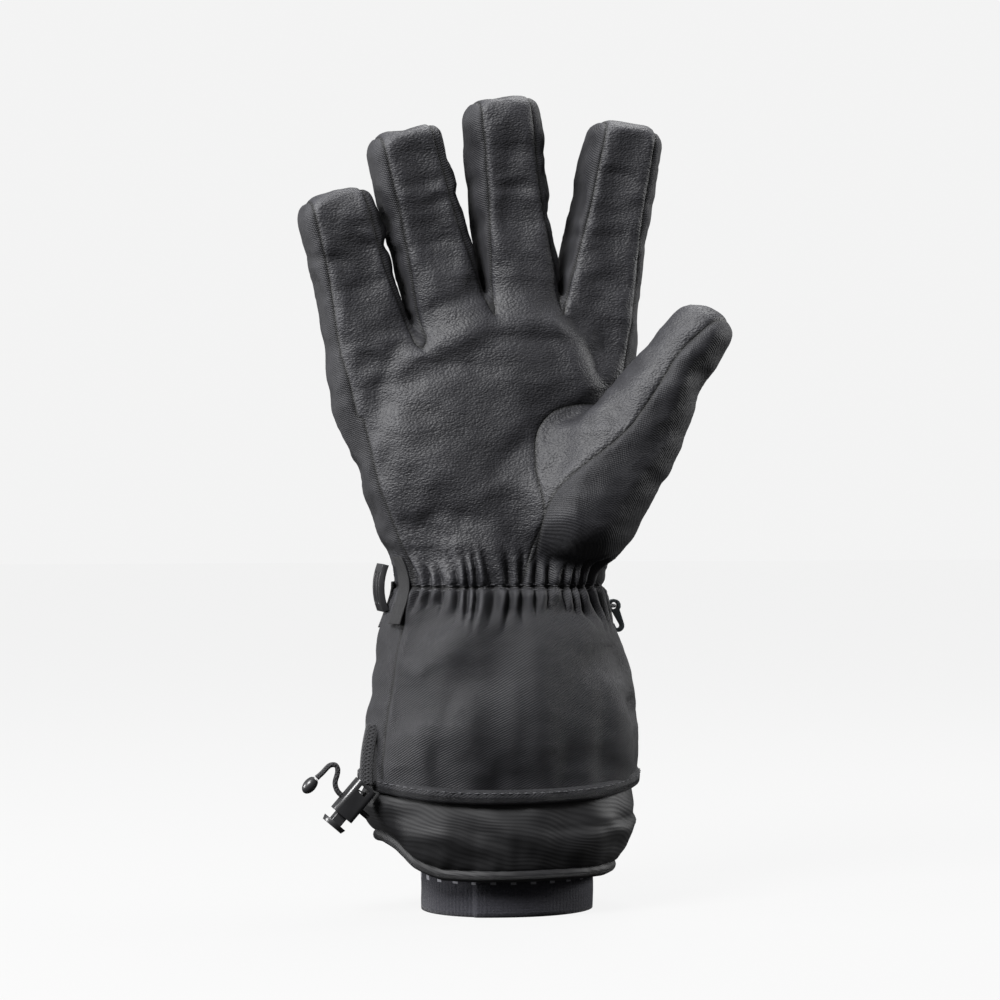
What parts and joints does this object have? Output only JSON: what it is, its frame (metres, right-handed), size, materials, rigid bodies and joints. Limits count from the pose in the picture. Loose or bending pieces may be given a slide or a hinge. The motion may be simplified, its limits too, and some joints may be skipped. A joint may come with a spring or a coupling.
{
  "type": "ski glove",
  "caption": "Insulated right-hand gauntlet ski glove with a leather palm, gathered wrist, cinching snow skirt, knit inner cuff, wrist-strap buckle and pairing clip.",
  "frame": {"origin": "on the inner cuff's bottom rim, in the middle of its thumb side and of its wall, where the flat rim rests", "axes": "+Z from the cuff towards the fingertips, -Y out of the palm, +X towards the thumb"},
  "size_m": [0.1654, 0.0881, 0.3236],
  "materials": {
    "leather": "soft-grained, semi-matt synthetic leather",
    "twill": "matt woven twill",
    "skirt_nylon": "fine striped nylon with a low sheen",
    "knit": "matt brushed knit",
    "lining": "brushed fleece",
    "webbing": "flat woven webbing",
    "elastic": "braided elastic",
    "label_tape": "satin tape",
    "black_plastic": "satin moulded acetal",
    "grey_plastic": "moulded acetal",
    "spring_steel": "drawn wire"
  },
  "bodies": {
    "cuff": {"gauntlet_palm_panel": "twill", "gauntlet_back_panel": "twill", "gauntlet_side_strip": "twill", "hem_binding": "twill", "wrist_elastic": "elastic", "gauntlet_liner": "lining", "snow_skirt": "skirt_nylon", "inner_cuff": "knit", "skirt_channel": "skirt_nylon", "drawcord": "elastic", "wrist_strap": "webbing", "side_label": "label_tape", "hook_loop": "webbing"},
    "hand": {"palm_panel": "leather", "back_panel": "twill", "ulnar_side_panel": "twill", "hand_liner": "lining", "thumb_base_leather": "leather", "thumb_base_fabric": "twill", "fourchette_little_ring": "twill", "fourchette_ring_middle": "twill", "fourchette_middle_index": "twill"},
    "little_lower": {"little_lower_leather": "leather", "little_lower_fabric": "twill", "little_lower_liner": "lining"},
    "little_tip": {"little_tip_leather": "leather", "little_tip_fabric": "twill", "little_tip_liner": "lining"},
    "ring_lower": {"ring_lower_leather": "leather", "ring_lower_fabric": "twill", "ring_lower_liner": "lining"},
    "ring_tip": {"ring_tip_leather": "leather", "ring_tip_fabric": "twill", "ring_tip_liner": "lining"},
    "middle_lower": {"middle_lower_leather": "leather", "middle_lower_fabric": "twill", "middle_lower_liner": "lining"},
    "middle_tip": {"middle_tip_leather": "leather", "middle_tip_fabric": "twill", "middle_tip_liner": "lining"},
    "index_lower": {"index_lower_leather": "leather", "index_lower_fabric": "twill", "index_lower_liner": "lining"},
    "index_tip": {"index_tip_leather": "leather", "index_tip_fabric": "twill", "index_tip_liner": "lining"},
    "thumb_lower": {"thumb_lower_leather": "leather", "thumb_lower_fabric": "twill", "thumb_lower_liner": "lining"},
    "thumb_tip": {"thumb_tip_leather": "leather", "thumb_tip_fabric": "twill", "thumb_tip_liner": "lining"},
    "cord_lock": {"cord_lock_body": "black_plastic", "lock_spring": "spring_steel", "lock_tether": "webbing"},
    "lock_button": {"lock_button": "black_plastic"},
    "cord_tail": {"drawcord_tail": "elastic", "cord_end": "black_plastic"},
    "strap_buckle": {"strap_buckle": "black_plastic"},
    "clip_hook": {"clip_hook": "grey_plastic"}
  },
  "joints": [
    {"name": "wrist_flex", "type": "hinge", "parent": "cuff", "child": "hand", "pos_m": [-0.0336, 0, 0.14], "axis": [1, 0, 0], "range_deg": [-35, 35]},
    {"name": "little_knuckle", "type": "hinge", "parent": "hand", "child": "little_lower", "pos_m": [-0.089, 0, 0.225], "axis": [0.9641, 0, 0.2656], "range_deg": [-10, 60]},
    {"name": "little_middle_joint", "type": "hinge", "parent": "little_lower", "child": "little_tip", "pos_m": [-0.0966, -0.002, 0.25257], "axis": [0.9641, 0, 0.2656], "range_deg": [-10, 75]},
    {"name": "ring_knuckle", "type": "hinge", "parent": "hand", "child": "ring_lower", "pos_m": [-0.0584, 0, 0.2385], "axis": [0.9632, 0, 0.2689], "range_deg": [-10, 60]},
    {"name": "ring_middle_joint", "type": "hinge", "parent": "ring_lower", "child": "ring_tip", "pos_m": [-0.06773, -0.00243, 0.27192], "axis": [0.9632, 0, 0.2689], "range_deg": [-10, 75]},
    {"name": "middle_knuckle", "type": "hinge", "parent": "hand", "child": "middle_lower", "pos_m": [-0.0286, 0, 0.244], "axis": [0.9921, 0, 0.1253], "range_deg": [-10, 60]},
    {"name": "middle_middle_joint", "type": "hinge", "parent": "middle_lower", "child": "middle_tip", "pos_m": [-0.0333, -0.00262, 0.28121], "axis": [0.9921, 0, 0.1253], "range_deg": [-10, 75]},
    {"name": "index_knuckle", "type": "hinge", "parent": "hand", "child": "index_lower", "pos_m": [0.0014, 0, 0.239], "axis": [0.9866, 0, -0.1633], "range_deg": [-10, 60]},
    {"name": "index_middle_joint", "type": "hinge", "parent": "index_lower", "child": "index_tip", "pos_m": [0.00722, -0.00249, 0.27415], "axis": [0.9866, 0, -0.1633], "range_deg": [-10, 75]},
    {"name": "thumb_knuckle", "type": "hinge", "parent": "hand", "child": "thumb_lower", "pos_m": [0.0129, -0.028, 0.192], "axis": [-0.5791, 0.6555, 0.4847], "range_deg": [-28, 10]},
    {"name": "thumb_middle_joint", "type": "hinge", "parent": "thumb_lower", "child": "thumb_tip", "pos_m": [0.02552, -0.03321, 0.21413], "axis": [-0.5791, 0.6555, 0.4847], "range_deg": [-50, 10]},
    {"name": "lock_swing", "type": "hinge", "parent": "cuff", "child": "cord_lock", "pos_m": [-0.09, -0.012, 0.073], "axis": [0, 1, 0], "range_deg": [0, 30]},
    {"name": "lock_button_press", "type": "slide", "parent": "cord_lock", "child": "lock_button", "axis": [0.6561, 0, 0.7547], "range_m": [0, 0.003], "stiffness_N_per_m": 400, "springref_m": -0.001, "deforming": ["lock_spring"]},
    {"name": "drawcord_pull", "type": "slide", "parent": "cord_lock", "child": "cord_tail", "axis": [-0.7547, 0, 0.6561], "range_m": [0, 0.008]},
    {"name": "buckle_tilt", "type": "hinge", "parent": "cuff", "child": "strap_buckle", "pos_m": [-0.083, -0.001, 0.128], "axis": [0, 0, 1], "range_deg": [0, 30]},
    {"name": "clip_swing", "type": "hinge", "parent": "cuff", "child": "clip_hook", "pos_m": [0.0116, 0.005, 0.12], "axis": [0, -1, 0], "range_deg": [0, 60]}
  ]
}
